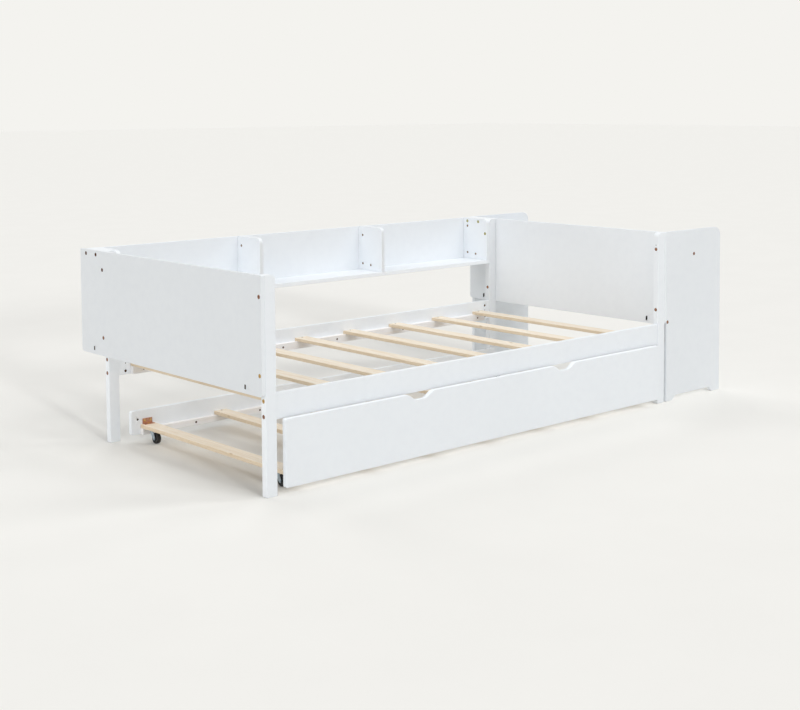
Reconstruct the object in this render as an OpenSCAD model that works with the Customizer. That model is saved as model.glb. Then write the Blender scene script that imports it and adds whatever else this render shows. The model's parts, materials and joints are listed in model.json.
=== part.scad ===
// Twin trundle bed: daybed frame with a shelf unit along its back, a bookcase
// across its right end, and a low bed that rolls out from under the front.
// X runs along the bed, Y from front to back, Z up. The origin is on the floor
// under the centre of the whole bed. Millimetres.

/* [Bed frame] */
// Clear length between the left and right posts
bed_l = 1920; // [1880:10:2040]
// Clear width between the two side rails
clear_w = 967; // [950:1:1000]
// Overall height of posts, end panels and bookcase
full_h = 708; // [690:2:750]
// Post width along the bed
post_w = 42; // [38:1:50]
// Post depth across the bed
post_d = 25; // [24:1:32]
// Radius of the rounded top inner corner of each post
post_top_r = 18; // [8:1:20]
// Thickness of the end panels
panel_t = 13; // [12:0.5:15]
// Thickness of back panel, shelves, dividers and bookcase sides
board_t = 16; // [15:0.5:18]
// Height of the end panels' bottom edge above the floor
panel_z = 322; // [316:1:332]

/* [Rails and slats] */
// Side rail thickness
rail_t = 18; // [16:1:20]
// Side rail height
rail_h = 85; // [78:1:92]
// Height of the side rails' bottom edge above the floor
rail_z = 245; // [240:1:252]
// Width of the cleats under the bed slats
cleat_w = 20; // [16:1:26]
// Height of the cleats under the bed slats
cleat_h = 30; // [24:1:31]
// Width of each bed slat
slat_w = 60; // [50:1:80]
// Thickness of each bed slat
slat_t = 13; // [11:0.5:16]

/* [Shelf unit] */
// Depth of the end panels behind the back posts
shelf_reach = 148; // [130:2:180]
// Height of the shelf's top face above the floor
shelf_z = 518; // [500:2:540]
// Radius of the rounded front top corner of each divider
divider_r = 22; // [10:1:40]

/* [Bookcase] */
// Depth of the bookcase out from the end panel
case_d = 370; // [320:5:400]
// Height of the lower shelf's top face above the floor
case_low_z = 382; // [380:2:420]
// Height from the upper shelf's top face to the top of the sides
case_bay_h = 95; // [75:2:119]
// Radius of the rounded outer top corners
case_r = 36; // [20:1:50]
// Height of the curved cut-out between the bookcase feet
foot_h = 20; // [14:1:26]

/* [Trundle] */
// Gap between each end of the trundle boards and the posts
trundle_gap = 18; // [14:1:24]
// Clear depth between the front and back trundle boards
trundle_in = 940; // [920:5:942]
// Thickness of the front and back trundle boards
trundle_t = 18; // [16:1:20]
// Bottom edge of the trundle boards above the floor
front_z = 25; // [20:1:26]
// Height of the front board
front_h = 222; // [216:1:224]
// Height of the back board
back_h = 89; // [78:1:110]
// Width of the curved finger scoops at the top of the front board
scoop_w = 130; // [110:2:160]
// Depth of the finger scoops
scoop_h = 22; // [18:1:32]
// Width of each trundle slat
low_slat_w = 56; // [50:1:66]
// Thickness of each trundle slat
low_slat_t = 14; // [12:0.5:18]

/* [Casters] */
// Caster wheel radius
wheel_r = 20; // [18:0.5:20]
// Caster wheel width
wheel_w = 16; // [13:0.5:17]
// Distance from the swivel axis back to the wheel axle
trail = 16; // [14:0.5:16]

/* [Hidden] */
$fn = 48;
eps = 1;
// The trundle's front board stands this far in front of the posts
front_gap = 4;
// Rails stand in the middle of the posts' depth
inset = (post_d - rail_t) / 2;
post_edge_r = 2;
post_foot_r = 3;
frame_w = clear_w + 2 * rail_t + 2 * inset;
// X stations, measured from the left posts' outer face
x_in_l = post_w;
x_in_r = post_w + bed_l;
x_post_r = 2 * post_w + bed_l;
x_case = x_post_r + panel_t;
x_end = x_case + case_d;
// Y stations, measured from the front face of the front posts
y_back = frame_w + shelf_reach;
y_front = -front_gap - trundle_t;
y_rail_f = inset;
y_rail_b = frame_w - inset - rail_t;
y_post_b = frame_w - post_d;
y_panel = y_back - board_t;
// Middle of the whole bed, which becomes the origin
mid_x = (x_end - panel_t) / 2;
mid_y = (y_back + y_front) / 2;
// Bolts
bolt_r = 3;
hole_r = 3.2;
head_r = 6.5;
head_h = 4;
sink_r = 6.9;
nut_r = 5;
nut_hole_r = 5.1;
nut_bore_r = 3.05;
nut_l = 13;
nut_sunk = 1;
nut_back = 28;
bolt_past = 8;
bolt_clear = 10;
panel_bolt_in = 68;
z_bolt_hi = full_h - panel_bolt_in;
z_bolt_lo = panel_z + panel_bolt_in;
block_h = 30;
z_block = full_h - block_h / 2;
rail_bolt_down = 22;
rail_bolt_up = 13;
z_rail_hi = rail_z + rail_h - rail_bolt_down;
z_rail_lo = rail_z + rail_bolt_up;
block_bolt_front = 33;
block_bolt_back = 43;
y_post_mid_f = post_d / 2;
y_post_mid_b = frame_w - post_d / 2;
y_block_1 = frame_w + block_bolt_front;
y_block_2 = y_back - block_bolt_back;
// Screws
screw_r = 2;
pilot_r = 2.05;
pilot_past = 0.5;
screw_head_r = 4;
screw_head_h = 2;
head_room = 0.1;
pan_r = 3.5;
pan_h = 1.8;
// Bed slats
cleat_x = 48;
n_slats = 8;
z_cleat = rail_z + cleat_h;
z_slat = z_cleat + slat_t;
slat_pitch = (bed_l - 2 * cleat_x - slat_w) / (n_slats - 1);
slat_bite = 14;
board_bite = 12;
// Screws through the deck cleats, in slat pitches from the first slat's middle
cleat_screw_at = [0.06, 1.35, 2.59, 3.69, 5.14, 6.3, 6.94];
// Small blind holes in the posts and in the rails
blind_r = 2;
blind_deep = 6;
post_blind_up = 17;
rail_blind_up = 4;
// Stretcher under the bookcase's lower shelf
z_stretch = panel_z;
stretch_h = case_low_z - board_t - z_stretch;
// Rounding of the end panels: lower corners, top corners at the back and front
panel_low_r = 15;
panel_top_rb = 5;
panel_top_rf = 3;
// Slots near the lower corners of the end panels, at the stretcher's middle
slot_w = 8;
slot_l = 15;
slot_r = 2;
slot_z = z_stretch + stretch_h / 2;
slot_y = 93;
hook_hole = 14;
hook_edge = 6;
hook_t = 2;
hook_h = 28;
hook_blade_t = 5;
hook_blade_h = 11;
hook_gap = 0.3;
hook_lip = 3;
hook_drop = 3;
hook_bite = 11;
// Shelf unit: its back panel ends a little below the panels' top
back_drop = 2;
back_top = full_h - back_drop;
div_pitch = (bed_l - board_t) / 3;
div_bolt_down = 38;
div_bolt_up = 28;
div_bolt_in = 50;
under_nut = 24;
under_bolt = 30;
z_div_top = full_h - div_bolt_down;
z_div_low = shelf_z + div_bolt_up;
y_div_mid = frame_w + div_bolt_in;
// Bookcase
case_high_z = full_h - case_bay_h;
shelf_setback = 8;
case_shelf_d = case_d - shelf_setback;
foot_a = 35;
foot_s = 35;
foot_b = 53;
foot_t = 21;
// Trundle
x_tr = post_w + trundle_gap;
tr_l = bed_l - 2 * trundle_gap;
y_fb = y_front + trundle_t;
y_bb = y_fb + trundle_in;
low_cleat_w = 20;
low_cleat_h = 23;
z_low_cleat = 25;
z_low = z_low_cleat + low_cleat_h;
z_low_top = z_low + low_slat_t;
low_cleat_end = 36;
low_slat_in = 2;
low_slat_end = low_cleat_end + low_slat_in;
low_bite = 12;
low_screw_at = 0.62;
low_first = x_tr + low_slat_end;
low_gap = 320;
low_second = low_first + low_gap;
low_last = x_tr + tr_l - low_slat_end - low_slat_w;
low_pitch = (low_last - low_gap - low_second) / 4;
scoop_x = 368;
scoop_s = 50;
cord_r = 4;
cord_x = 26;
cord_z = 56;
// Corner brackets
br_w = 40;
br_h = 20;
br_d = 22;
br_t = 2;
br_hole_x = 12;
br_hole_z = 12;
// Casters: the wheel, the fork round it, and the fixed plate on top
axle_r = 3;
axle_hole_r = 3.05;
pin_r = 3;
pin_hole_r = 3.05;
plate_s = 38;
plate_t = 2;
plate_hole = 14;
plate_bite = 11;
plate_pan_h = 1;
z_crown = z_low - 6;
crown_t = 2.5;
fork_t = 2;
fork_gap = 1.5;
hub_gap = 0.3;
caster_in_x = 21;
kp_x_l = low_first + caster_in_x;
kp_x_r = low_last + low_slat_w - caster_in_x;
caster_in_f = 100;
caster_in_b = 40;
kp_y_f = y_fb + caster_in_f;
kp_y_b = y_bb - low_cleat_w - caster_in_b;

// ---------- colours ----------
paint = [0.90, 0.915, 0.93];
pine = [0.84, 0.73, 0.56];
washed = [0.86, 0.82, 0.76];
zinc = [0.66, 0.70, 0.74];
bronze = [0.42, 0.24, 0.13];
copper = [0.60, 0.27, 0.12];
rubber = [0.03, 0.03, 0.035];
blackened = [0.07, 0.065, 0.06];
dark_bronze = [0.24, 0.15, 0.10];

// ---------- helpers ----------
module place() {
    translate([-mid_x, -mid_y, 0]) children();
}

// A flat profile drawn in Y and Z, given thickness t along +X
module plate_yz(t) {
    rotate([90, 0, 90]) linear_extrude(t) children();
}

// A flat profile drawn in X and Z, given thickness t along +Y
module plate_xz(t) {
    translate([0, t, 0]) rotate([90, 0, 0]) linear_extrude(t) children();
}

// What is cut away to round one corner of a profile; sx and sy say which corner
module corner(x, y, sx, sy, r) {
    difference() {
        translate([sx > 0 ? x - r : x - eps, sy > 0 ? y - r : y - eps])
            square(r + eps);
        translate([x - sx * r, y - sy * r]) circle(r);
    }
}

// Rectangle with a radius of its own at each corner: bl, br, tr, tl
module rounded(w, h, bl, br, tr, tl) {
    difference() {
        square([w, h]);
        if (bl > 0) corner(0, 0, -1, -1, bl);
        if (br > 0) corner(w, 0, 1, -1, br);
        if (tr > 0) corner(w, h, 1, 1, tr);
        if (tl > 0) corner(0, h, -1, 1, tl);
    }
}

module rod_x(x, y, z, r, l) {
    translate([x, y, z]) rotate([0, 90, 0]) cylinder(r = r, h = l);
}

module rod_y(x, y, z, r, l) {
    translate([x, y + l, z]) rotate([90, 0, 0]) cylinder(r = r, h = l);
}

module rod_z(x, y, z, r, l) {
    translate([x, y, z]) cylinder(r = r, h = l);
}

// Smooth rise from 0 at u = 0 to 1 at u = 1
function ease(u) = (1 - cos(180 * u)) / 2;

// Bolt with a sunk socket head; its head's outer face is at the origin, shank along +Z
module bolt(l) {
    difference() {
        union() {
            cylinder(r = head_r, h = head_h);
            cylinder(r = bolt_r, h = l);
        }
        translate([0, 0, -eps]) cylinder(r = 2.6, h = 2.5 + eps, $fn = 6);
    }
}

// Sleeve nut that closes over the far end of a through bolt; cap face at the origin
module sleeve_nut() {
    difference() {
        cylinder(r = head_r, h = head_h);
        translate([0, 0, 2.5]) cylinder(r = nut_bore_r, h = head_h);
    }
}

module bolt_x(x, y, z, l) {
    translate([x, y, z]) rotate([0, 90, 0]) bolt(l);
}

module bolt_mx(x, y, z, l) {
    translate([x, y, z]) rotate([0, -90, 0]) bolt(l);
}

module bolt_y(x, y, z, l) {
    translate([x, y, z]) rotate([-90, 0, 0]) bolt(l);
}

module bolt_my(x, y, z, l) {
    translate([x, y, z]) rotate([90, 0, 0]) bolt(l);
}

// Flat-headed wood screw; top of the head at the origin, shank along -Z
module screw(l) {
    translate([0, 0, -screw_head_h]) cylinder(r = screw_head_r, h = screw_head_h);
    translate([0, 0, -l]) cylinder(r = screw_r, h = l - screw_head_h / 2);
}

// Room for that screw
module screw_room(l) {
    translate([0, 0, -screw_head_h])
        cylinder(r = screw_head_r + head_room, h = screw_head_h + eps);
    translate([0, 0, -l - pilot_past]) cylinder(r = pilot_r, h = l);
}

// ---------- end panels ----------
// A slot seen from the end, its middle at 0
module slot() {
    translate([-slot_w / 2, -slot_l / 2]) rounded(slot_w, slot_l, slot_r, slot_r, slot_r, slot_r);
}

module end_profile() {
    difference() {
        rounded(y_back, full_h - panel_z, panel_low_r, panel_low_r, panel_top_rb, panel_top_rf);
        for (y = [slot_y, y_back - slot_y])
            translate([y, slot_z - panel_z]) slot();
    }
}

// Positions of the bolts through an end panel: y, z
panel_holes = [[y_post_mid_f, z_bolt_hi], [y_post_mid_f, z_bolt_lo],
    [y_post_mid_b, z_bolt_hi], [y_post_mid_b, z_bolt_lo],
    [y_block_1, z_block], [y_block_2, z_block]];

module end_panel_left() {
    color(paint) place() difference() {
        translate([-panel_t, 0, panel_z]) plate_yz(panel_t) end_profile();
        for (p = panel_holes) {
            rod_x(-panel_t - eps, p[0], p[1], hole_r, panel_t + 2 * eps);
            rod_x(-panel_t - eps, p[0], p[1], sink_r, head_h + eps);
        }
    }
}

module end_panel_right() {
    color(paint) place() difference() {
        translate([x_post_r, 0, panel_z]) plate_yz(panel_t) end_profile();
        for (p = panel_holes) {
            rod_x(x_post_r - eps, p[0], p[1], hole_r, panel_t + 2 * eps);
            rod_x(x_case - head_h, p[0], p[1], sink_r, head_h + eps);
        }
    }
}

// ---------- posts ----------
// One post standing with its outer face at x = 0 and the bed towards +X
module post_left(back) {
    difference() {
        intersection() {
            linear_extrude(full_h)
                rounded(post_w, post_d, post_edge_r, post_edge_r, post_edge_r, post_edge_r);
            translate([0, -eps, 0]) plate_xz(post_d + 2 * eps)
                rounded(post_w, full_h, post_foot_r, post_foot_r, post_top_r, 0);
        }
        for (z = [z_bolt_hi, z_bolt_lo]) {
            rod_x(-eps, post_d / 2, z, hole_r, post_w + 2 * eps);
            if (!back || z == z_bolt_lo)
                rod_x(post_w - head_h, post_d / 2, z, sink_r, head_h + eps);
        }
        for (z = [z_rail_hi, z_rail_lo]) {
            rod_x(-eps, post_d / 2, z, hole_r, post_w + 2 * eps);
            rod_x(-eps, post_d / 2, z, sink_r, head_h + eps);
        }
        if (!back)
            rod_x(post_w - blind_deep, post_d / 2, z_bolt_hi + post_blind_up, blind_r, blind_deep + eps);
    }
}

module post_right(back) {
    mirror([1, 0, 0]) post_left(back);
}

module post_front_left() {
    color(paint) place() post_left(false);
}

module post_back_left() {
    color(paint) place() translate([0, y_post_b, 0]) post_left(true);
}

module post_front_right() {
    color(paint) place() translate([x_post_r, 0, 0]) post_right(false);
}

module post_back_right() {
    color(paint) place() translate([x_post_r, y_post_b, 0]) post_right(true);
}

// ---------- side rails ----------
// Screws that hold a cleat to its rail
cleat_screw_x = [for (k = cleat_screw_at) slat_mid(0) + k * slat_pitch];

// Rail with its outer face at y = 0 and the bed towards +Y
module rail_body() {
    difference() {
        translate([x_in_l, 0, rail_z]) cube([bed_l, rail_t, rail_h]);
        for (z = [z_rail_hi, z_rail_lo]) {
            rod_x(x_in_l - eps, rail_t / 2, z, hole_r, nut_back + bolt_clear + eps);
            rod_x(x_in_r - nut_back - bolt_clear, rail_t / 2, z, hole_r, nut_back + bolt_clear + eps);
            rod_y(x_in_l + nut_back, rail_t - nut_l - nut_sunk, z, nut_hole_r, nut_l + nut_sunk + eps);
            rod_y(x_in_r - nut_back, rail_t - nut_l - nut_sunk, z, nut_hole_r, nut_l + nut_sunk + eps);
        }
        for (x = [x_in_l + nut_back, x_in_r - nut_back])
            rod_y(x, rail_t - blind_deep, (z_rail_hi + z_rail_lo) / 2 + rail_blind_up,
                blind_r, blind_deep + eps);
        for (x = cleat_screw_x)
            rod_y(x, rail_t - board_bite - pilot_past, rail_z + cleat_h / 2, pilot_r,
                board_bite + pilot_past + eps);
    }
}

module rail_front() {
    color(paint) place() translate([0, y_rail_f, 0]) rail_body();
}

module rail_back() {
    color(paint) place() translate([0, y_rail_b + rail_t, 0]) mirror([0, 1, 0]) rail_body();
}

// Cleat against the inner face of the front rail, that face at y = 0
module deck_cleat_body() {
    difference() {
        translate([x_in_l + cleat_x, 0, rail_z]) cube([bed_l - 2 * cleat_x, cleat_w, cleat_h]);
        for (x = cleat_screw_x)
            translate([x, cleat_w, rail_z + cleat_h / 2]) rotate([-90, 0, 0])
                screw_room(cleat_w + board_bite);
        for (i = [0 : n_slats - 1])
            rod_z(slat_mid(i), cleat_w / 2, z_cleat - slat_bite - 2, pilot_r, slat_bite + 2 + eps);
    }
}

module deck_cleat_front() {
    color(washed) place() translate([0, y_rail_f + rail_t, 0]) deck_cleat_body();
}

module deck_cleat_back() {
    color(washed) place() translate([0, y_rail_b, 0]) mirror([0, 1, 0]) deck_cleat_body();
}

// ---------- bed slats ----------
function slat_x(i) = x_in_l + cleat_x + i * slat_pitch;
function slat_mid(i) = slat_x(i) + slat_w / 2;

module deck_slat(i) {
    color(pine) place() difference() {
        translate([slat_x(i), y_rail_f + rail_t + 0.5, z_cleat])
            cube([slat_w, clear_w - 1, slat_t]);
        for (y = [y_rail_f + rail_t + cleat_w / 2, y_rail_b - cleat_w / 2])
            translate([slat_mid(i), y, z_slat]) screw_room(slat_t + slat_bite);
    }
}

// ---------- shelf unit ----------
function div_x(i) = x_in_l + i * div_pitch;

module back_panel() {
    color(paint) place() difference() {
        translate([0, y_panel, shelf_z - board_t])
            cube([x_post_r, board_t, back_top - shelf_z + board_t]);
        for (i = [0 : 3])
            for (z = [z_div_top, z_div_low]) {
                rod_y(div_x(i) + board_t / 2, y_panel - eps, z, hole_r, board_t + 2 * eps);
                rod_y(div_x(i) + board_t / 2, y_back - head_h, z, sink_r, head_h + eps);
            }
    }
}

// The shelf is notched round both back posts
module shelf_board() {
    color(paint) place() difference() {
        translate([0, y_post_b, shelf_z - board_t])
            cube([x_post_r, y_panel - y_post_b, board_t]);
        for (x = [-eps, x_in_r])
            translate([x, y_post_b - eps, shelf_z - board_t - eps])
                cube([post_w + eps, post_d + eps, board_t + 2 * eps]);
        for (i = [0 : 3]) {
            rod_z(div_x(i) + board_t / 2, y_div_mid, shelf_z - board_t - eps, hole_r, board_t + 2);
            rod_z(div_x(i) + board_t / 2, y_div_mid, shelf_z - board_t - eps, sink_r, head_h + eps);
        }
    }
}

// Divider with its left face at x = 0; nuts are let into the face that looks into a bay
module divider_body(end, right) {
    x_nut = right ? -eps : board_t - nut_l;
    difference() {
        translate([0, y_post_b, shelf_z]) plate_yz(board_t)
            rounded(y_panel - y_post_b, full_h - shelf_z, 0, 0, 0, divider_r);
        for (z = [z_div_top, z_div_low]) {
            rod_y(board_t / 2, y_panel - nut_back - bolt_clear, z, hole_r, nut_back + bolt_clear + eps);
            rod_x(x_nut, y_panel - nut_back, z, nut_hole_r, nut_l + eps);
        }
        rod_z(board_t / 2, y_div_mid, shelf_z - eps, hole_r, under_bolt + 2);
        rod_x(x_nut, y_div_mid, shelf_z + under_nut, nut_hole_r, nut_l + eps);
        if (end)
            for (p = [[y_post_mid_b, z_bolt_hi], [y_block_1, z_block], [y_block_2, z_block]]) {
                rod_x(-eps, p[0], p[1], hole_r, board_t + 2 * eps);
                rod_x(right ? -eps : board_t - head_h, p[0], p[1], sink_r, head_h + eps);
            }
    }
}

module divider_left_end() {
    color(paint) place() translate([div_x(0), 0, 0]) divider_body(true, false);
}

module divider_left() {
    color(paint) place() translate([div_x(1), 0, 0]) divider_body(false, true);
}

module divider_right() {
    color(paint) place() translate([div_x(2), 0, 0]) divider_body(false, true);
}

module divider_right_end() {
    color(paint) place() translate([div_x(3), 0, 0]) divider_body(true, true);
}

// Block that fills the gap behind a back post, between end panel and end divider
module top_block() {
    difference() {
        translate([0, frame_w, full_h - block_h]) cube([post_w, y_panel - frame_w, block_h]);
        for (y = [y_block_1, y_block_2])
            rod_x(-eps, y, z_block, hole_r, post_w + 2 * eps);
    }
}

module top_block_left() {
    color(paint) place() top_block();
}

module top_block_right() {
    color(paint) place() translate([x_in_r, 0, 0]) top_block();
}

// ---------- bookcase ----------
// Outline of a side, from the end panel outwards, with a foot at each end
module side_profile() {
    n = 8;
    x1 = foot_a;
    x2 = foot_a + foot_s;
    x3 = case_d - foot_b - foot_t;
    x4 = case_d - foot_b;
    difference() {
        rounded(case_d, full_h, 2, 3, case_r, 3);
        polygon(concat([[x1, -eps]],
            [for (i = [0 : n]) [x1 + (x2 - x1) * i / n, foot_h * ease(i / n)]],
            [for (i = [0 : n]) [x3 + (x4 - x3) * i / n, foot_h * ease(1 - i / n)]],
            [[x4, -eps]]));
    }
}

z_str_bolt = z_stretch + stretch_h / 4;
x_str = x_case + board_t / 2;
x_high = x_case + case_d / 2;
z_high = case_high_z - board_t / 2;
z_lows = case_low_z - board_t / 2;
dowel_r = 4;
dowel_hole_r = 4.05;
dowel_l = 24;
dowel_in = 50;
dowel_out = 60;
dowel_x = [dowel_in, case_shelf_d - dowel_out];

// Side with its outer face at y = 0 and the bookcase towards +Y
module side_body() {
    difference() {
        translate([x_case, 0, 0]) plate_xz(board_t) side_profile();
        for (p = [[x_str, z_str_bolt], [x_high, z_high]]) {
            rod_y(p[0], -eps, p[1], hole_r, board_t + 2 * eps);
            rod_y(p[0], -eps, p[1], sink_r, head_h + eps);
        }
        for (z = [z_high, z_lows])
            for (x = dowel_x)
                rod_y(x_case + x, board_t - dowel_l / 2, z, dowel_hole_r, dowel_l / 2 + eps);
    }
}

module case_side_front() {
    color(paint) place() side_body();
}

module case_side_back() {
    color(paint) place() translate([0, y_back, 0]) mirror([0, 1, 0]) side_body();
}

module case_stretcher() {
    color(paint) place() difference() {
        translate([x_case, board_t, z_stretch])
            cube([board_t, y_back - 2 * board_t, stretch_h]);
        for (y = [board_t - eps, y_back - board_t - nut_back - bolt_clear])
            rod_y(x_str, y, z_str_bolt, hole_r, nut_back + bolt_clear + eps);
        for (y = [board_t + nut_back, y_back - board_t - nut_back])
            rod_x(x_case + board_t - nut_l, y, z_str_bolt, nut_hole_r, nut_l + eps);
        for (y = [slot_y, y_back - slot_y]) {
            translate([x_case - eps, y, slot_z]) plate_yz(board_t + 2 * eps) slot();
            for (dy = [-hook_hole, hook_hole])
                rod_x(x_case + board_t - hook_bite - 1, y + dy, slot_z, pilot_r, hook_bite + 1 + eps);
        }
    }
}

module case_shelf(z, bolted) {
    difference() {
        translate([x_case, board_t, z - board_t])
            cube([case_shelf_d, y_back - 2 * board_t, board_t]);
        for (y = [board_t - eps, y_back - board_t - dowel_l / 2])
            for (x = dowel_x)
                rod_y(x_case + x, y, z - board_t / 2, dowel_hole_r, dowel_l / 2 + eps);
        if (bolted) {
            for (y = [board_t - eps, y_back - board_t - nut_back - bolt_clear])
                rod_y(x_high, y, z - board_t / 2, hole_r, nut_back + bolt_clear + eps);
            for (y = [board_t + nut_back, y_back - board_t - nut_back])
                rod_z(x_high, y, z - board_t - eps, nut_hole_r, nut_l + eps);
        }
    }
}

module case_shelf_lower() {
    color(paint) place() case_shelf(case_low_z, false);
}

module case_shelf_upper() {
    color(paint) place() case_shelf(case_high_z, true);
}

// Hook plates that pass through the slots and drop over the end panel's edge there
z_blade = slot_z - slot_l / 2 + hook_gap;

module case_hooks() {
    color(blackened) place() for (y = [slot_y, y_back - slot_y]) {
        difference() {
            union() {
                translate([x_case + board_t, y - hook_hole - hook_edge, slot_z - hook_h / 2])
                    cube([hook_t, 2 * (hook_hole + hook_edge), hook_h]);
                translate([x_post_r - hook_lip, y - hook_blade_t / 2, z_blade])
                    cube([hook_lip + panel_t + board_t + hook_t / 2, hook_blade_t, hook_blade_h]);
                translate([x_post_r - hook_lip, y - hook_blade_t / 2, z_blade - hook_gap - hook_drop])
                    cube([hook_lip - hook_gap, hook_blade_t, hook_drop + hook_gap + hook_blade_h]);
            }
            for (dy = [-hook_hole, hook_hole])
                rod_x(x_case + board_t - eps, y + dy, slot_z, pilot_r, hook_t + 2 * eps);
        }
        for (dy = [-hook_hole, hook_hole])
            translate([x_case + board_t + hook_t + screw_head_h, y + dy, slot_z])
                rotate([0, 90, 0]) screw(hook_bite + hook_t);
    }
}

// ---------- frame hardware ----------
module panel_bolts() {
    color(bronze) place() for (side = [0, 1])
        translate([side * x_post_r, 0, 0]) mirror([side, 0, 0]) {
            for (p = panel_holes) {
                deep = p[0] > y_post_mid_f && p[1] != z_bolt_lo;
                reach = panel_t + post_w + (deep ? board_t : 0);
                bolt_x(-panel_t, p[0], p[1], reach - 1.5);
                translate([reach - panel_t, p[0], p[1]]) rotate([0, -90, 0]) sleeve_nut();
            }
        }
}

module rail_bolts() {
    color(bronze) place() for (side = [0, 1])
        translate([side * x_post_r, 0, 0]) mirror([side, 0, 0])
            for (y = [y_post_mid_f, y_post_mid_b])
                for (z = [z_rail_hi, z_rail_lo])
                    bolt_x(0, y, z, post_w + nut_back + bolt_past);
}

module shelf_unit_bolts() {
    color(bronze) place() for (i = [0 : 3]) {
        for (z = [z_div_top, z_div_low])
            bolt_my(div_x(i) + board_t / 2, y_back, z, board_t + nut_back + bolt_past);
        translate([div_x(i) + board_t / 2, y_div_mid, shelf_z - board_t]) bolt(board_t + under_bolt);
    }
}

module case_bolts() {
    color(bronze) place() for (p = [[x_str, z_str_bolt], [x_high, z_high]]) {
        bolt_y(p[0], 0, p[1], board_t + nut_back + bolt_past);
        bolt_my(p[0], y_back, p[1], board_t + nut_back + bolt_past);
    }
    color(pine) place() for (z = [z_high, z_lows])
        for (x = dowel_x)
            for (y = [board_t - dowel_l / 2 + 0.2, y_back - board_t - dowel_l / 2 + 0.2])
                rod_y(x_case + x, y, z, dowel_r, dowel_l - 0.4);
}

module barrel_nuts() {
    color(dark_bronze) place() {
        // in the side rails, lying along Y, holes along X
        for (x = [x_in_l + nut_back, x_in_r - nut_back])
            for (z = [z_rail_hi, z_rail_lo]) {
                difference() {
                    rod_y(x, y_rail_f + rail_t - nut_l - nut_sunk, z, nut_r, nut_l);
                    rod_x(x - nut_r - eps, y_post_mid_f, z, nut_bore_r, 2 * nut_r + 2 * eps);
                }
                difference() {
                    rod_y(x, y_rail_b + nut_sunk, z, nut_r, nut_l);
                    rod_x(x - nut_r - eps, y_post_mid_b, z, nut_bore_r, 2 * nut_r + 2 * eps);
                }
            }
        // in the dividers, lying along X
        for (i = [0 : 3]) {
            x = div_x(i) + (i == 0 ? board_t - nut_l : nut_sunk);
            xm = div_x(i) + board_t / 2;
            for (z = [z_div_top, z_div_low])
                difference() {
                    rod_x(x, y_panel - nut_back, z, nut_r, nut_l - nut_sunk);
                    rod_y(xm, y_panel - nut_back - nut_r - eps, z, nut_bore_r, 2 * nut_r + 2 * eps);
                }
            difference() {
                rod_x(x, y_div_mid, shelf_z + under_nut, nut_r, nut_l - nut_sunk);
                rod_z(xm, y_div_mid, shelf_z + under_nut - nut_r - eps, nut_bore_r, 2 * nut_r + 2 * eps);
            }
        }
        // in the bookcase stretcher and upper shelf
        for (y = [board_t + nut_back, y_back - board_t - nut_back]) {
            difference() {
                rod_x(x_case + board_t - nut_l, y, z_str_bolt, nut_r, nut_l - nut_sunk);
                rod_y(x_str, y - nut_r - eps, z_str_bolt, nut_bore_r, 2 * nut_r + 2 * eps);
            }
            difference() {
                rod_z(x_high, y, case_high_z - board_t + nut_sunk - eps, nut_r, nut_l - nut_sunk);
                rod_y(x_high, y - nut_r - eps, z_high, nut_bore_r, 2 * nut_r + 2 * eps);
            }
        }
    }
}

module deck_screws() {
    color(dark_bronze) place() {
        for (x = cleat_screw_x) {
            translate([x, y_rail_f + rail_t + cleat_w, rail_z + cleat_h / 2])
                rotate([-90, 0, 0]) screw(cleat_w + board_bite);
            translate([x, y_rail_b - cleat_w, rail_z + cleat_h / 2])
                rotate([90, 0, 0]) screw(cleat_w + board_bite);
        }
        for (i = [0 : n_slats - 1])
            for (y = [y_rail_f + rail_t + cleat_w / 2, y_rail_b - cleat_w / 2])
                translate([slat_mid(i), y, z_slat]) screw(slat_t + slat_bite);
    }
}

// ---------- trundle ----------
// Screws that hold a cleat to its board, between the slats
low_cleat_screw_x = [for (i = [1 : 6]) low_mid(i) + low_screw_at * (low_mid(i + 1) - low_mid(i))];

module scoop_cut(x) {
    n = 8;
    w = scoop_w / 2;
    polygon(concat([[x - w, front_h + eps]],
        [for (i = [0 : n]) [x - w + scoop_s * i / n, front_h - scoop_h * ease(i / n)]],
        [for (i = [0 : n]) [x + w - scoop_s + scoop_s * i / n, front_h - scoop_h * ease(1 - i / n)]],
        [[x + w, front_h + eps]]));
}

module low_cleat_pilots(y, l) {
    for (x = low_cleat_screw_x)
        rod_y(x, y, z_low_cleat + low_cleat_h / 2, pilot_r, l);
}

// Bracket positions: middle of the first and last slat
bracket_x = [low_first + low_slat_w / 2, low_last + low_slat_w / 2];

module trundle_front_board() {
    color(paint) place() difference() {
        translate([x_tr, y_front, front_z]) plate_xz(trundle_t) difference() {
            rounded(tr_l, front_h, 6, 6, 6, 6);
            scoop_cut(tr_l / 2 - scoop_x);
            scoop_cut(tr_l / 2 + scoop_x);
        }
        low_cleat_pilots(y_fb - board_bite - pilot_past, board_bite + pilot_past + eps);
        for (x = bracket_x)
            for (dx = [-br_hole_x, br_hole_x])
                rod_y(x + dx, y_fb - board_bite, z_low_top + br_hole_z, pilot_r, board_bite + eps);
    }
}

module trundle_back_board() {
    color(paint) place() difference() {
        translate([x_tr, y_bb, front_z]) plate_xz(trundle_t)
            rounded(tr_l, back_h, 8, 8, 8, 8);
        low_cleat_pilots(y_bb - eps, board_bite + pilot_past + eps);
        for (x = bracket_x)
            for (dx = [-br_hole_x, br_hole_x])
                rod_y(x + dx, y_bb - eps, z_low_top + br_hole_z, pilot_r, board_bite + eps);
        for (x = [x_tr + cord_x, x_tr + tr_l - cord_x])
            rod_y(x, y_bb - eps, front_z + cord_z, cord_r, trundle_t + 2 * eps);
    }
}

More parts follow.
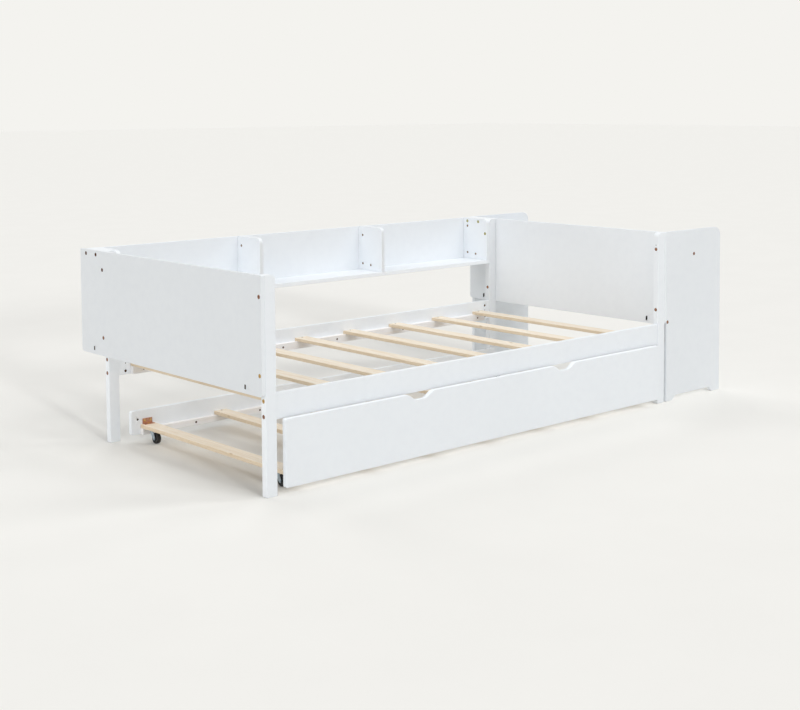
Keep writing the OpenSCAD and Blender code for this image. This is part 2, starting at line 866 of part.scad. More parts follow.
// Cleat against the front board's inner face, that face at y = 0
module low_cleat_body() {
    difference() {
        translate([x_tr + low_cleat_end, 0, z_low_cleat])
            cube([tr_l - 2 * low_cleat_end, low_cleat_w, low_cleat_h]);
        for (x = low_cleat_screw_x)
            translate([x, low_cleat_w, z_low_cleat + low_cleat_h / 2]) rotate([-90, 0, 0])
                screw_room(low_cleat_w + board_bite);
        for (i = [1 : 7])
            rod_z(low_mid(i), low_cleat_w / 2, z_low - low_bite - 2, pilot_r, low_bite + 2 + eps);
    }
}

module trundle_cleat_front() {
    color(washed) place() translate([0, y_fb, 0]) low_cleat_body();
}

module trundle_cleat_back() {
    color(washed) place() translate([0, y_bb, 0]) mirror([0, 1, 0]) low_cleat_body();
}

function low_x(i) = i == 1 ? low_first : i == 7 ? low_last : low_second + (i - 2) * low_pitch;
function low_mid(i) = low_x(i) + low_slat_w / 2;

// The first and last slats also carry the caster plates and the corner brackets
module trundle_slat(i) {
    color(pine) place() difference() {
        translate([low_x(i), y_fb + 0.3, z_low]) cube([low_slat_w, trundle_in - 0.6, low_slat_t]);
        for (y = [y_fb + low_cleat_w / 2, y_bb - low_cleat_w / 2])
            rod_z(low_mid(i), y, z_low - eps, pilot_r, low_slat_t + 2 * eps);
        if (i > 1 && i < 7)
            for (y = [y_fb + low_cleat_w / 2, y_bb - low_cleat_w / 2])
                rod_z(low_mid(i), y, z_low_top - screw_head_h, screw_head_r + head_room, screw_head_h + eps);
        if (i == 1 || i == 7)
            for (y = [kp_y_f, kp_y_b])
                for (dx = [-plate_hole, plate_hole])
                    for (dy = [-plate_hole, plate_hole])
                        rod_z((i == 1 ? kp_x_l : kp_x_r) + dx, y + dy, z_low - eps, pilot_r, plate_bite);
    }
}

// Bracket whose upright stands against a board's inner face at y = 0
module bracket() {
    difference() {
        union() {
            translate([-br_w / 2, 0, 0]) cube([br_w, br_d, br_t]);
            translate([-br_w / 2, 0, 0]) cube([br_w, br_t, br_h]);
        }
        for (dx = [-br_hole_x, br_hole_x])
            rod_y(dx, -eps, br_hole_z, pilot_r, br_t + 2 * eps);
        rod_z(0, low_cleat_w / 2, -eps, pilot_r, br_t + 2 * eps);
    }
}

module trundle_brackets() {
    color(copper) place() for (x = bracket_x) {
        translate([x, y_fb, z_low_top]) bracket();
        translate([x, y_bb, z_low_top]) mirror([0, 1, 0]) bracket();
    }
}

// Round-headed screw; underside of the head at the origin, shank along -Z
module pan_screw(l, h = pan_h) {
    cylinder(r = pan_r, h = h);
    translate([0, 0, -l]) cylinder(r = screw_r, h = l + eps);
}

module trundle_screws() {
    color(dark_bronze) place() {
        for (x = low_cleat_screw_x) {
            translate([x, y_fb + low_cleat_w, z_low_cleat + low_cleat_h / 2])
                rotate([-90, 0, 0]) screw(low_cleat_w + board_bite);
            translate([x, y_bb - low_cleat_w, z_low_cleat + low_cleat_h / 2])
                rotate([90, 0, 0]) screw(low_cleat_w + board_bite);
        }
        for (i = [2 : 6])
            for (y = [y_fb + low_cleat_w / 2, y_bb - low_cleat_w / 2])
                translate([low_mid(i), y, z_low_top]) screw(low_slat_t + low_bite);
        for (x = bracket_x) {
            for (y = [y_fb + low_cleat_w / 2, y_bb - low_cleat_w / 2])
                translate([x, y, z_low_top + br_t]) pan_screw(low_slat_t + low_bite);
            for (dx = [-br_hole_x, br_hole_x]) {
                translate([x + dx, y_fb + br_t, z_low_top + br_hole_z])
                    rotate([-90, 0, 0]) pan_screw(board_bite + br_t - 1);
                translate([x + dx, y_bb - br_t, z_low_top + br_hole_z])
                    rotate([90, 0, 0]) pan_screw(board_bite + br_t - 1);
            }
        }
        for (x = [kp_x_l, kp_x_r])
            for (y = [kp_y_f, kp_y_b])
                for (dx = [-plate_hole, plate_hole])
                    for (dy = [-plate_hole, plate_hole])
                        translate([x + dx, y + dy, z_low - plate_t])
                            rotate([180, 0, 0]) pan_screw(plate_bite, plate_pan_h);
    }
}

// ---------- casters ----------
// Fixed plate, bearing boss and riveted swivel pin
module caster_plates() {
    color(zinc) place() for (x = [kp_x_l, kp_x_r])
        for (y = [kp_y_f, kp_y_b])
            translate([x, y, 0]) difference() {
                union() {
                    translate([-plate_s / 2, -plate_s / 2, z_low - plate_t])
                        linear_extrude(plate_t) rounded(plate_s, plate_s, 4, 4, 4, 4);
                    rod_z(0, 0, z_crown + crown_t + 0.3, 9, z_low - z_crown - crown_t - 0.3);
                    rod_z(0, 0, z_crown - 1, pin_r, z_low - z_crown + 1);
                    rod_z(0, 0, z_crown - 2.1, 4.6, 1.8);
                }
                for (dx = [-plate_hole, plate_hole])
                    for (dy = [-plate_hole, plate_hole])
                        rod_z(dx, dy, z_low - plate_t - eps, pilot_r, plate_t + 2 * eps);
            }
}

// Swivel fork with its axle; the swivel axis is at x = 0, y = 0
module fork() {
    in_x = wheel_w / 2 + fork_gap;
    out_x = in_x + fork_t;
    z_top = z_crown + crown_t;
    difference() {
        translate([-out_x, -13, z_crown]) cube([2 * out_x, 24, crown_t]);
        rod_z(0, 0, z_crown - eps, pin_hole_r, crown_t + 2 * eps);
    }
    for (x = [-out_x, in_x])
        translate([x, 0, 0]) plate_yz(fork_t) {
            polygon([[-13, z_top], [-trail - 6.8, wheel_r + 1.5], [-trail + 6.2, wheel_r - 3.2],
                [11, z_crown - 2], [11, z_top]]);
            translate([-trail, wheel_r]) circle(7);
        }
    rod_x(-out_x - 1.5, -trail, wheel_r, axle_r, 2 * out_x + 3);
    for (x = [-out_x - 1.5, out_x])
        rod_x(x, -trail, wheel_r, 4.6, 1.5);
}

// Wheel with a hub a little longer than the tread is wide
module wheel() {
    hub = wheel_w + 2 * (fork_gap - hub_gap);
    difference() {
        union() {
            rotate([0, 90, 0]) rotate_extrude($fn = 64) translate([0, -wheel_w / 2])
                rounded_half(wheel_r, wheel_w, 2.5);
            rod_x(-hub / 2, 0, 0, 7, hub);
        }
        rod_x(-hub, 0, 0, axle_hole_r, 2 * hub);
        for (s = [0, 1])
            mirror([s, 0, 0]) rotate([0, 90, 0]) translate([0, 0, wheel_w / 2 - 1.5])
                difference() {
                    cylinder(r = wheel_r - 5, h = 3);
                    translate([0, 0, -eps]) cylinder(r = 7, h = 3 + 2 * eps);
                }
    }
}

// Half section of the tread: from the axis out to r, w tall, outer corners rounded
module rounded_half(r, w, c) {
    difference() {
        square([r, w]);
        corner(r, 0, 1, -1, c);
        corner(r, w, 1, 1, c);
    }
}

module caster_fork(x, y) {
    color(zinc) place() translate([x, y, 0]) fork();
}

module caster_wheel(x, y) {
    color(rubber) place() translate([x, y - trail, wheel_r]) wheel();
}

end_panel_left();
end_panel_right();
post_front_left();
post_back_left();
post_front_right();
post_back_right();
rail_front();
rail_back();
deck_cleat_front();
deck_cleat_back();
deck_slat(0);  // deck_slat_1
deck_slat(1);  // deck_slat_2
deck_slat(2);  // deck_slat_3
deck_slat(3);  // deck_slat_4
deck_slat(4);  // deck_slat_5
deck_slat(5);  // deck_slat_6
deck_slat(6);  // deck_slat_7
deck_slat(7);  // deck_slat_8
back_panel();
shelf_board();
divider_left_end();
divider_left();
divider_right();
divider_right_end();
top_block_left();
top_block_right();
case_side_front();
case_side_back();
case_stretcher();
case_shelf_lower();
case_shelf_upper();
case_hooks();
panel_bolts();
rail_bolts();
shelf_unit_bolts();
case_bolts();
barrel_nuts();
deck_screws();
trundle_front_board();
trundle_back_board();
trundle_cleat_front();
trundle_cleat_back();
trundle_slat(1);  // trundle_slat_1
trundle_slat(2);  // trundle_slat_2
trundle_slat(3);  // trundle_slat_3
trundle_slat(4);  // trundle_slat_4
trundle_slat(5);  // trundle_slat_5
trundle_slat(6);  // trundle_slat_6
trundle_slat(7);  // trundle_slat_7
trundle_brackets();
trundle_screws();
caster_plates();
caster_fork(kp_x_l, kp_y_f);  // caster_fork_front_left
caster_fork(kp_x_r, kp_y_f);  // caster_fork_front_right
caster_fork(kp_x_l, kp_y_b);  // caster_fork_back_left
caster_fork(kp_x_r, kp_y_b);  // caster_fork_back_right
caster_wheel(kp_x_l, kp_y_f);  // caster_wheel_front_left
caster_wheel(kp_x_r, kp_y_f);  // caster_wheel_front_right
caster_wheel(kp_x_l, kp_y_b);  // caster_wheel_back_left
caster_wheel(kp_x_r, kp_y_b);  // caster_wheel_back_right
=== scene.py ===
import json
import math

import bmesh
import bpy
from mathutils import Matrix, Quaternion, Vector

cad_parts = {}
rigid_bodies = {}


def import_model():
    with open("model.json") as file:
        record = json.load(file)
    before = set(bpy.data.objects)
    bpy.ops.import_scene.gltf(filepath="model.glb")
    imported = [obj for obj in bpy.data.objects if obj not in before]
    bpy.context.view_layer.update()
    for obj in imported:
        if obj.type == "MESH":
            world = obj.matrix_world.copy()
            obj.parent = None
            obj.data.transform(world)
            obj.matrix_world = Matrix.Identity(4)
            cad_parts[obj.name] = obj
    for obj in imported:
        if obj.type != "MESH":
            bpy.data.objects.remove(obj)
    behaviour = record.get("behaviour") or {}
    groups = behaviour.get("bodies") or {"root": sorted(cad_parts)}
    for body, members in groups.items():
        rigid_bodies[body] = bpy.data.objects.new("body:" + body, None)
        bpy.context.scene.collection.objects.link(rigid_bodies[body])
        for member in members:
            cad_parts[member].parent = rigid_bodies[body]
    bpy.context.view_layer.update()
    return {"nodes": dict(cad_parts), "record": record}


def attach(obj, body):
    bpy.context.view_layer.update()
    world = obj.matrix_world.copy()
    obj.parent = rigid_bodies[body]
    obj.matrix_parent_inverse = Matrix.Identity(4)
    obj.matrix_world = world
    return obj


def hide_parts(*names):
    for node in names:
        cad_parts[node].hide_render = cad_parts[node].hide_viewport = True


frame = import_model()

# The looks of the trundle bed: each board gets an eased copy of its own solid, each surface a
# procedural material. Lengths are in metres: X runs to the bed's right, Y to its back, Z up.

scene = bpy.context.scene
nodes = frame["nodes"]
body_of = {n: b for b, names in frame["record"]["behaviour"]["bodies"].items() for n in names}
slot_of = {s["node"]: s["material_slot"] for s in frame["record"]["subparts"]}


# ---------- node-tree helpers ----------
class Tree:
    """A material's node tree, with short calls for the nodes used below.

    A noise's scale is in patches a metre."""

    def __init__(self, name):
        self.material = bpy.data.materials.new(name)
        self.material.use_nodes = True
        self.tree = self.material.node_tree
        self.tree.nodes.clear()
        out = self.tree.nodes.new("ShaderNodeOutputMaterial")
        self.shader = self.tree.nodes.new("ShaderNodeBsdfPrincipled")
        self.join(self.shader.outputs["BSDF"], out.inputs["Surface"])
        place = self.tree.nodes.new("ShaderNodeTexCoord")
        self.coords = place.outputs["Object"]
        self.facing = place.outputs["Normal"]

    def join(self, source, target):
        self.tree.links.new(source, target)

    def feed(self, value, socket):
        """Links another node's output, or sets a plain value."""
        if hasattr(value, "is_output"):
            self.join(value, socket)
        else:
            socket.default_value = value

    def scaled(self, scale, source=None):
        m = self.tree.nodes.new("ShaderNodeMapping")
        self.join(source or self.coords, m.inputs["Vector"])
        m.inputs["Scale"].default_value = scale
        return m.outputs["Vector"]

    def shifted(self, vector, shift):
        s = self.tree.nodes.new("ShaderNodeVectorMath")
        s.operation = "ADD"
        self.join(vector, s.inputs[0])
        self.join(shift, s.inputs[1])
        return s.outputs["Vector"]

    def noise(self, vector, scale, detail, rough=0.55):
        n = self.tree.nodes.new("ShaderNodeTexNoise")
        self.join(vector, n.inputs["Vector"])
        n.inputs["Scale"].default_value = scale
        n.inputs["Detail"].default_value = detail
        n.inputs["Roughness"].default_value = rough
        return n.outputs["Fac"]

    def ramp(self, source, low, high, to_low=0.0, to_high=1.0):
        """A smooth step: to_low where the source is under low, to_high where it is over high."""
        r = self.tree.nodes.new("ShaderNodeMapRange")
        r.interpolation_type = "SMOOTHSTEP"
        self.join(source, r.inputs["Value"])
        for key, value in (("From Min", low), ("From Max", high),
                           ("To Min", to_low), ("To Max", to_high)):
            r.inputs[key].default_value = value
        return r.outputs["Result"]

    def math(self, kind, a, b):
        m = self.tree.nodes.new("ShaderNodeMath")
        m.operation = kind
        self.feed(a, m.inputs[0])
        self.feed(b, m.inputs[1])
        return m.outputs[0]

    def mix(self, factor, a, b):
        """Colour a where the factor is 0, colour b where it is 1."""
        m = self.tree.nodes.new("ShaderNodeMix")
        m.data_type = "RGBA"
        self.feed(factor, m.inputs["Factor"])
        self.feed(a if hasattr(a, "is_output") else (*a, 1.0), m.inputs["A"])
        self.feed(b if hasattr(b, "is_output") else (*b, 1.0), m.inputs["B"])
        return m.outputs["Result"]

    def part(self, vector, axis):
        s = self.tree.nodes.new("ShaderNodeSeparateXYZ")
        self.join(vector, s.inputs[0])
        return s.outputs[axis]

    def near(self, centre, radius):
        """1 within this distance of a point of the frame, 0 outside it."""
        d = self.tree.nodes.new("ShaderNodeVectorMath")
        d.operation = "DISTANCE"
        self.join(self.coords, d.inputs[0])
        d.inputs[1].default_value = centre
        return self.math("LESS_THAN", d.outputs["Value"], radius)

    def between(self, low, high):
        """1 between two heights of the frame, 0 outside them."""
        height = self.part(self.coords, "Z")
        above = self.math("GREATER_THAN", height, low)
        below = self.math("LESS_THAN", height, high)
        return self.math("MULTIPLY", above, below)

    def bump(self, height, distance, strength, under=None):
        b = self.tree.nodes.new("ShaderNodeBump")
        b.inputs["Distance"].default_value = distance
        b.inputs["Strength"].default_value = strength
        self.join(height, b.inputs["Height"])
        if under is not None:
            self.join(under, b.inputs["Normal"])
        return b.outputs["Normal"]

    def finish(self, color, roughness, normal=None, **fixed):
        """Sets the shader and gives the material; fixed holds other sockets by name."""
        self.feed(color, self.shader.inputs["Base Color"])
        self.feed(roughness, self.shader.inputs["Roughness"])
        if normal is not None:
            self.join(normal, self.shader.inputs["Normal"])
        for key, value in fixed.items():
            self.shader.inputs[key.replace("_", " ")].default_value = value
        return self.material


def srgb(r, g, b):
    """Linear colour from 0-255 display values."""
    def one(v):
        v /= 255
        return v / 12.92 if v <= 0.04045 else ((v + 0.055) / 1.055) ** 2.4
    return one(r), one(g), one(b)


# ---------- materials ----------
def white_paint():
    """Satin lacquer: almost even, faintly mottled, with the fine skin that a roller leaves."""
    t = Tree("white_paint")
    cloud = t.noise(t.coords, scale=2.2, detail=2.0)
    mottle = t.noise(t.coords, scale=34.0, detail=4.0)
    skin = t.noise(t.coords, scale=420.0, detail=2.0, rough=0.5)
    wave = t.noise(t.coords, scale=60.0, detail=2.0, rough=0.5)
    tint = t.mix(t.ramp(cloud, 0.3, 0.7), srgb(240, 244, 248), srgb(242, 246, 250))
    tint = t.mix(t.ramp(mottle, 0.35, 0.75, 0.0, 0.35), tint, srgb(236, 240, 245))
    rough = t.math("ADD", t.ramp(mottle, 0.2, 0.8, 0.36, 0.46), t.ramp(skin, 0.2, 0.8, 0.0, 0.05))
    normal = t.bump(skin, 0.00006, 0.5, under=t.bump(wave, 0.0002, 0.35))
    return t.finish(tint, rough, normal, Specular_IOR_Level=0.45)


DRAWN_OUT = 0.045           # scale of a wood pattern along the grain, as a share of that across
RING_WANDER = 0.035         # how far the rings wander sideways
KNOTS_ACROSS = 14.0         # cells for knots, a metre across and along the grain
KNOTS_ALONG = 5.5
KNOT_HEART = srgb(128, 88, 50)


def wood(name, axis, light, mid, dark, wash=None, knots=None, painted_lit_top=None):
    """Planed softwood with its grain along one axis (0 for X, 1 for Y).

    wash is a thin white stain all over, painted_lit_top a paler tone painted as light on what faces
    up, and knots the radius of the knots as a share of their cells."""
    t = Tree(name)

    def grain(scale, detail, rough=0.55, source=None):
        """Noise of this scale across the grain, drawn out along it."""
        stretch = [scale] * 3
        stretch[axis] *= DRAWN_OUT
        return t.noise(t.scaled(stretch, source), 1.0, detail, rough)

    # Bands, fibres and patches are one noise at three scales, the bands on wandering rings
    wander = t.math("MULTIPLY", grain(3.0, detail=2.0), RING_WANDER)
    sideways = t.tree.nodes.new("ShaderNodeCombineXYZ")
    for across in {0, 1, 2} - {axis}:
        t.join(wander, sideways.inputs[across])
    rings = t.shifted(t.coords, sideways.outputs[0])
    bands = grain(150.0, detail=3.0, rough=0.6, source=rings)
    fibres = grain(900.0, detail=2.0, rough=0.6)
    patch = grain(12.0, detail=2.0)
    color = t.mix(t.ramp(bands, 0.38, 0.66), light, mid)
    color = t.mix(t.ramp(bands, 0.58, 0.78, 0.0, 0.75), color, dark)
    color = t.mix(t.ramp(patch, 0.35, 0.7, 0.0, 0.5), color, mid)
    color = t.mix(t.ramp(fibres, 0.5, 0.8, 0.0, 0.35), color, dark)
    # Painted light: faces that look up get a paler tone, as if lit from above
    if painted_lit_top:
        up = t.ramp(t.part(t.facing, "Z"), 0.6, 0.95)
        painted_top_light = t.math("MULTIPLY", up, t.ramp(bands, 0.34, 0.66, 0.85, 0.3))
        color = t.mix(painted_top_light, color, painted_lit_top)
    if knots:
        cells = [KNOTS_ACROSS] * 3
        cells[axis] = KNOTS_ALONG
        cell = t.tree.nodes.new("ShaderNodeTexVoronoi")
        t.join(t.scaled(cells), cell.inputs["Vector"])
        cell.inputs["Scale"].default_value = 1.0
        from_middle = cell.outputs["Distance"]
        ring = t.ramp(from_middle, knots * 0.55, knots, 0.55, 0.0)
        heart = t.ramp(from_middle, knots * 0.2, knots * 0.6, 0.7, 0.0)
        color = t.mix(ring, color, dark)
        color = t.mix(heart, color, KNOT_HEART)
    if wash:
        cover = grain(60.0, detail=4.0, rough=0.65)
        color = t.mix(t.ramp(cover, 0.3, 0.62, 0.8, 1.0), color, wash)
    rough = t.math("ADD", t.ramp(bands, 0.3, 0.8, 0.62, 0.52), t.ramp(fibres, 0.3, 0.8, 0.0, 0.08))
    normal = t.bump(fibres, 0.00015, 0.5, under=t.bump(bands, 0.0004, 0.3))
    return t.finish(color, rough, normal, Specular_IOR_Level=0.3)


LINES_ACROSS = 260.0        # drawn lines in a metre of metal, level and upright
LINES_UP = 31.2


def metal(name, light, dark, rough_low, rough_high, metallic=1.0, platings_and_shade=(), bands=()):
    """Plated steel: cloudy tone and fine drawn lines.

    platings_and_shade are (centre, radius, colour) of bolts plated differently and of bolts painted
    dark as painted shade, bands are (low, high, colour) of levels plated differently."""
    t = Tree(name)
    cloud = t.noise(t.coords, scale=90.0, detail=3.0)
    lines = t.noise(t.scaled((LINES_ACROSS, LINES_ACROSS, LINES_UP)), scale=1.0, detail=2.0)
    color = t.mix(t.ramp(cloud, 0.3, 0.7), light, dark)
    # Spots round listed points: bolts plated differently, and bolts painted dark as painted shade
    for centre, radius, local_tone in platings_and_shade:
        color = t.mix(t.near(centre, radius), color, local_tone)
    for low, high, local_tone in bands:
        color = t.mix(t.between(low, high), color, local_tone)
    rough = t.math("ADD", t.ramp(cloud, 0.25, 0.75, rough_low, rough_high),
                   t.ramp(lines, 0.3, 0.7, 0.0, 0.08))
    normal = t.bump(lines, 0.00005, 0.5)
    return t.finish(color, rough, normal, Metallic=metallic)


def raw_board():
    """Unpainted fibreboard in the slots and bores, flecked, and made darker than bare board as
    painted shade in these recesses.
    """
    t = Tree("raw_board")
    fleck = t.noise(t.coords, scale=700.0, detail=3.0)
    cloud = t.noise(t.coords, scale=120.0, detail=2.0)
    # Dark browns: bare board darkened as painted shade for the deep slots and bores
    color = t.mix(t.ramp(fleck, 0.3, 0.7), srgb(96, 74, 56), srgb(70, 54, 42))
    color = t.mix(t.ramp(cloud, 0.35, 0.7, 0.0, 0.5), color, srgb(52, 42, 34))
    return t.finish(color, t.ramp(fleck, 0.3, 0.7, 0.8, 0.92), t.bump(fleck, 0.0002, 0.5),
                    Specular_IOR_Level=0.1)


def black_rubber():
    """Hard black tyre, slightly dusty."""
    t = Tree("black_rubber")
    dust = t.noise(t.coords, scale=130.0, detail=4.0)
    grit = t.noise(t.coords, scale=900.0, detail=2.0)
    color = t.mix(t.ramp(dust, 0.45, 0.8, 0.0, 0.6), srgb(18, 18, 19), srgb(46, 46, 48))
    return t.finish(color, t.ramp(dust, 0.3, 0.8, 0.42, 0.6), t.bump(grit, 0.00008, 0.5))


PINE = (srgb(238, 221, 196), srgb(228, 209, 181), srgb(204, 177, 143))
# Bolts that the photograph shows plated differently: at the front left corner and at the
# right end of the shelf unit; those at its left end are painted dark as painted shade
BOLT_PLATINGS_AND_SHADE = (
    ((-1.19, -0.5555, 0.35), 0.07, srgb(200, 166, 104)),
    ((0.76, 0.49, 0.67), 0.09, srgb(176, 170, 118)),
    # Painted shade: the bolts at the left end of the shelf unit, darkened where they sit in shadow
    ((-1.19, 0.48, 0.60), 0.17, srgb(104, 72, 58)),
)
# Levels of the screws in the trundle's brackets, and of the nuts in the shelf unit and the
# bookcase's upper shelf
SCREW_BANDS = (
    (0.0625, 0.10, srgb(222, 192, 120)),
    (0.50, 0.75, srgb(150, 122, 98)),
)
paints = {
    "white_paint": white_paint(),
    "pine": wood("pine", 1, *PINE, knots=0.10, painted_lit_top=srgb(240, 233, 220)),
    "whitewashed_pine": wood("whitewashed_pine", 0, *PINE, wash=srgb(244, 243, 244)),
    "bronzed_steel": metal("bronzed_steel", srgb(172, 130, 106), srgb(142, 102, 82),
                           0.3, 0.42, platings_and_shade=BOLT_PLATINGS_AND_SHADE),
    "dark_bronzed_steel": metal("dark_bronzed_steel", srgb(104, 76, 56), srgb(70, 50, 38),
                                0.34, 0.48, bands=SCREW_BANDS),
    "black_steel": metal("black_steel", srgb(44, 42, 40), srgb(28, 27, 26),
                         0.4, 0.5, metallic=0.6),
    "zinc_steel": metal("zinc_steel", srgb(186, 198, 206), srgb(160, 174, 184), 0.28, 0.42),
    "copper_coloured_steel": metal("copper_coloured_steel", srgb(214, 170, 148),
                                   srgb(180, 134, 112), 0.26, 0.4),
    "black_rubber": black_rubber(),
}
shaded_raw = raw_board()

for name, obj in nodes.items():
    obj.material_slots[0].material = paints[slot_of[name]]


# ---------- boards and slats with eased edges ----------
WELD = 2e-6                             # vertices nearer than this are one
FLAT = math.radians(0.5)                # faces that meet at less are one face
SHARP = math.radians(35)                # edges that turn more are rounded off
CREASE = math.radians(50)               # edges that turn more stay sharp in shading
BORE_DEPTH = 0.0005                     # a bore's faces lie at least this far inside its board
EASE_SEGMENTS = 2
EASE = {"white_paint": 0.0012, "pine": 0.0015, "whitewashed_pine": 0.0010}


def span(verts, axis):
    """Least and greatest coordinate of some vertices on one axis."""
    places = [v.co[axis] for v in verts]
    return min(places), max(places)


def patches(bm, sharp):
    """The smooth patches of a mesh: faces joined across edges that aren't sharp."""
    seen = set()
    for first in bm.faces:
        if first in seen:
            continue
        seen.add(first)
        patch, ahead = [], [first]
        while ahead:
            face = ahead.pop()
            patch.append(face)
            fresh = {f for e in face.edges if e not in sharp for f in e.link_faces} - seen
            seen |= fresh
            ahead += fresh
        yield patch


def bores(bm, sharp):
    """Faces inside slots and holes: smooth patches that lie within the board on two axes."""
    board = [span(bm.verts, axis) for axis in range(3)]
    found = []
    for patch in patches(bm, sharp):
        verts = {v for face in patch for v in face.verts}
        inside = 0
        for axis, (board_low, board_high) in enumerate(board):
            low, high = span(verts, axis)
            inside += low > board_low + BORE_DEPTH and high < board_high - BORE_DEPTH
        if inside > 1:
            found += patch
    return found


def eased(name, width):
    """Stands for a CAD board: the same solid with its sharp edges rounded off.

    A white board shows unpainted board, darkened as painted shade, in its slots and bores."""
    mesh = nodes[name].data.copy()
    bm = bmesh.new()
    bm.from_mesh(mesh)
    bmesh.ops.remove_doubles(bm, verts=bm.verts, dist=WELD)
    bmesh.ops.dissolve_limit(bm, angle_limit=FLAT, verts=bm.verts, edges=bm.edges)
    sharp = {e for e in bm.edges if len(e.link_faces) == 2 and e.calc_face_angle(0) > SHARP}
    for face in bores(bm, sharp):
        face.material_index = 1
        sharp -= set(face.edges)
    bmesh.ops.bevel(bm, geom=list(sharp), offset=width, offset_type="OFFSET",
                    segments=EASE_SEGMENTS, profile=0.5, affect="EDGES", clamp_overlap=False)
    bmesh.ops.triangulate(bm, faces=bm.faces)
    # Both materials are in place before to_mesh, or it drops the bores' index
    paint = paints[slot_of[name]]
    mesh.materials.clear()
    mesh.materials.append(paint)
    mesh.materials.append(shaded_raw if slot_of[name] == "white_paint" else paint)
    bm.to_mesh(mesh)
    bm.free()
    mesh.shade_smooth()
    mesh.set_sharp_from_angle(angle=CREASE)
    piece = bpy.data.objects.new(name + "_eased", mesh)
    scene.collection.objects.link(piece)
    weighted = piece.modifiers.new("face_weights", "WEIGHTED_NORMAL")
    weighted.keep_sharp = True
    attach(piece, body_of[name])
    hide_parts(name)


for name in sorted(nodes):
    if slot_of[name] in EASE:
        eased(name, EASE[slot_of[name]])


# ---------- floor and backdrop ----------
FLOOR_REACH = 60.0
FLOOR_DROP = 0.0002                     # keeps the feet's undersides off the floor's face
FLOOR_TONES = (srgb(242, 241, 237), srgb(243, 242, 238))
BACKDROP_TONE = srgb(244, 243, 239)
SKY = 0.35


def floor_paint():
    """Matt and almost even."""
    t = Tree("floor")
    cloud = t.noise(t.coords, scale=3.0, detail=2.0)
    return t.finish(t.mix(t.ramp(cloud, 0.3, 0.7), *FLOOR_TONES), 0.9, Specular_IOR_Level=0.0)


def studio():
    """A world that lights the bed evenly, while the camera and gloss see the backdrop tone."""
    world = bpy.data.worlds.new("studio")
    world.use_nodes = True
    tree = world.node_tree
    tree.nodes.clear()
    out = tree.nodes.new("ShaderNodeOutputWorld")
    light = tree.nodes.new("ShaderNodeBackground")
    seen = tree.nodes.new("ShaderNodeBackground")
    mix = tree.nodes.new("ShaderNodeMixShader")
    path = tree.nodes.new("ShaderNodeLightPath")
    either = tree.nodes.new("ShaderNodeMath")
    light.inputs["Color"].default_value = (1.0, 1.0, 1.0, 1.0)
    light.inputs["Strength"].default_value = SKY
    seen.inputs["Color"].default_value = (*BACKDROP_TONE, 1.0)
    seen.inputs["Strength"].default_value = 1.0
    either.operation = "MAXIMUM"
    for source, target in (
        (path.outputs["Is Camera Ray"], either.inputs[0]),
        (path.outputs["Is Glossy Ray"], either.inputs[1]),
        (either.outputs[0], mix.inputs[0]),
        (light.outputs[0], mix.inputs[1]),
        (seen.outputs[0], mix.inputs[2]),
        (mix.outputs[0], out.inputs["Surface"]),
    ):
        tree.links.new(source, target)
    return world


floor_mesh = bpy.data.meshes.new("floor")
corners = [(x * FLOOR_REACH, y * FLOOR_REACH, 0) for x, y in ((-1, -1), (1, -1), (1, 1), (-1, 1))]
floor_mesh.from_pydata(corners, [], [(0, 1, 2, 3)])
floor_mesh.materials.append(floor_paint())
floor = bpy.data.objects.new("floor", floor_mesh)
scene.collection.objects.link(floor)
floor.location.z = -FLOOR_DROP
scene.world = studio()


# ---------- lamps ----------
def sun(name, strength, azimuth, elevation, spread):
    """Light from an azimuth (0 front, 90 right) and a height, all angles in degrees."""
    lamp = bpy.data.lights.new(name, "SUN")
    lamp.energy = strength
    lamp.angle = math.radians(spread)
    obj = bpy.data.objects.new(name, lamp)
    scene.collection.objects.link(obj)
    a, e = math.radians(azimuth), math.radians(elevation)
    travel = Vector((-math.sin(a) * math.cos(e), math.cos(a) * math.cos(e), -math.sin(e)))
    obj.rotation_mode = "QUATERNION"
    obj.rotation_quaternion = travel.to_track_quat("-Z", "Y")
    return obj


def group(name, members, keep):
    """A light-linking group of just these pieces (keep), or of everything but them."""
    found = bpy.data.collections.new(name)
    for obj in members:
        found.objects.link(obj)
    if not keep:
        for entry in found.collection_objects:
            entry.light_linking.link_state = "EXCLUDE"
    return found


def pieces(*names):
    return [bpy.data.objects[n + "_eased"] for n in names]


LOW_PARTS = ("trundle", "rail", "post", "deck_slat", "case_side")
low = [o for o in scene.objects if o.name.endswith("_eased") and o.name.startswith(LOW_PARTS)]
low += [nodes[n] for n in sorted(nodes) if n.startswith("caster")]
only_floor = [floor]
ends = pieces("case_side_front", "case_side_back", "shelf_board")
left = pieces("end_panel_left")
inner = pieces("shelf_board", "back_panel", "rail_back", "deck_cleat_back",
               "trundle_back_board", "trundle_cleat_back")
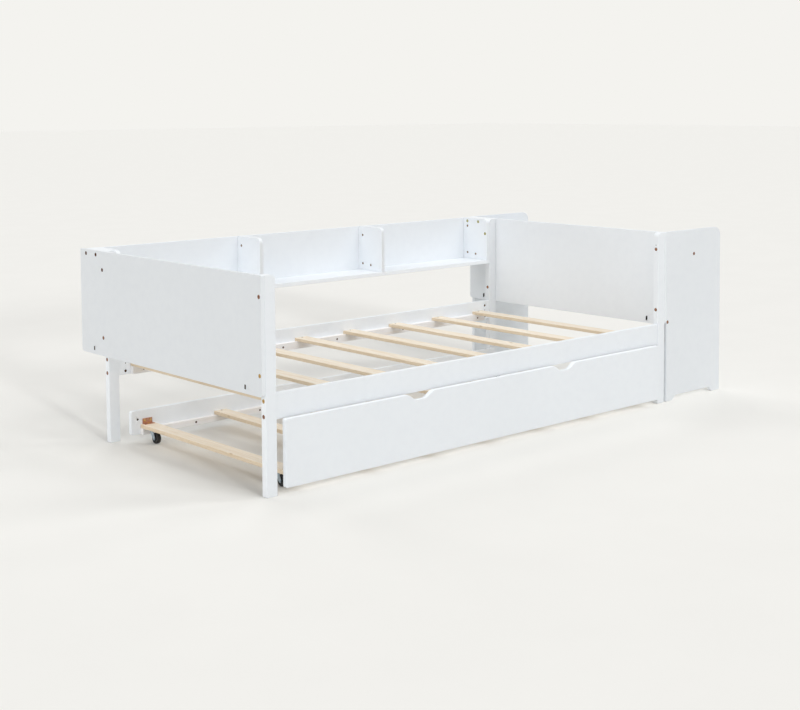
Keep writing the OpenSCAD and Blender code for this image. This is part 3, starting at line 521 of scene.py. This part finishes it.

# name, strength, azimuth, elevation, spread, lit pieces or None, left out pieces or None,
# shade: None when all pieces cast it, a list of those that do, empty when none does.
# The floor has its own lamps, from the front round to the back, and only the low parts of
# the bed shade most of them, so that the shadow lies close under the bed.
# Most strengths are rounded results of a least-squares fit of single-lamp renders to the
# photograph's tones. The first two lamps were set after it, and a few others changed.
LAMPS = (
    ("floor_broad", 1.00, 350, 12, 5, only_floor, None, None),
    ("floor_front_low", 0.45, 350, 10, 8, only_floor, None, low),
    ("floor_front", 0.85, 0, 22, 20, only_floor, None, low),
    ("floor_front_right", 0.85, 22, 22, 20, only_floor, None, low),
    ("floor_right", 1.00, 60, 22, 20, only_floor, None, low),
    ("floor_side", 0.45, 90, 30, 20, only_floor, None, low),
    ("floor_back_right", 0.35, 150, 55, 20, only_floor, None, low),
    ("floor_back", 0.40, 180, 30, 20, only_floor, None, low),
    ("front", 0.95, 0, 60, 60, None, only_floor, None),
    ("front_bed", 0.30, 0, 60, 60, None, [floor, *ends], None),
    ("right", 0.45, 45, 60, 60, None, only_floor, None),
    ("left", 0.55, 270, 35, 60, None, only_floor, None),
    ("left_inside", 0.55, 270, 35, 60, None, [floor, *left], None),
    ("inner", 0.15, 345, 10, 60, inner, None, []),
    ("shelf_edge", 0.40, 0, 4, 60, pieces("shelf_board"), None, []),
)
for name, strength, azimuth, elevation, spread, lit, unlit, shade in LAMPS:
    lamp = sun(name, strength, azimuth, elevation, spread)
    lamp.light_linking.receiver_collection = group(name + "_lit", lit or unlit, lit is not None)
    if shade:
        lamp.light_linking.blocker_collection = group(name + "_shade", shade, True)
    elif shade is not None:
        lamp.data.use_shadow = False


# ---------- camera ----------
# Place, turn and lens come from a fit to the photograph's straight edges. Degrees: yaw to the
# right of straight back, pitch down, roll about the line of sight.
CAMERA_PLACE = (-3.6459, -4.0530, 1.2364)
YAW, PITCH, ROLL = (math.radians(turn) for turn in (42.948, 3.790, -0.250))
SENSOR = 36.0                           # millimetres, and so is the lens
LENS = 61.371

cam = bpy.data.cameras.new("camera")
cam.sensor_width = SENSOR
cam.lens = LENS
cam.shift_x = -0.06
cam.shift_y = -0.20
cam.clip_start = 0.05
cam.clip_end = 300.0
camera = bpy.data.objects.new("camera", cam)
scene.collection.objects.link(camera)
camera.location = CAMERA_PLACE
sight = Vector((math.sin(YAW) * math.cos(PITCH), math.cos(YAW) * math.cos(PITCH), -math.sin(PITCH)))
camera.rotation_mode = "QUATERNION"
camera.rotation_quaternion = sight.to_track_quat("-Z", "Y") @ Quaternion((0, 0, 1), ROLL)
scene.camera = camera

scene.view_settings.view_transform = "Standard"
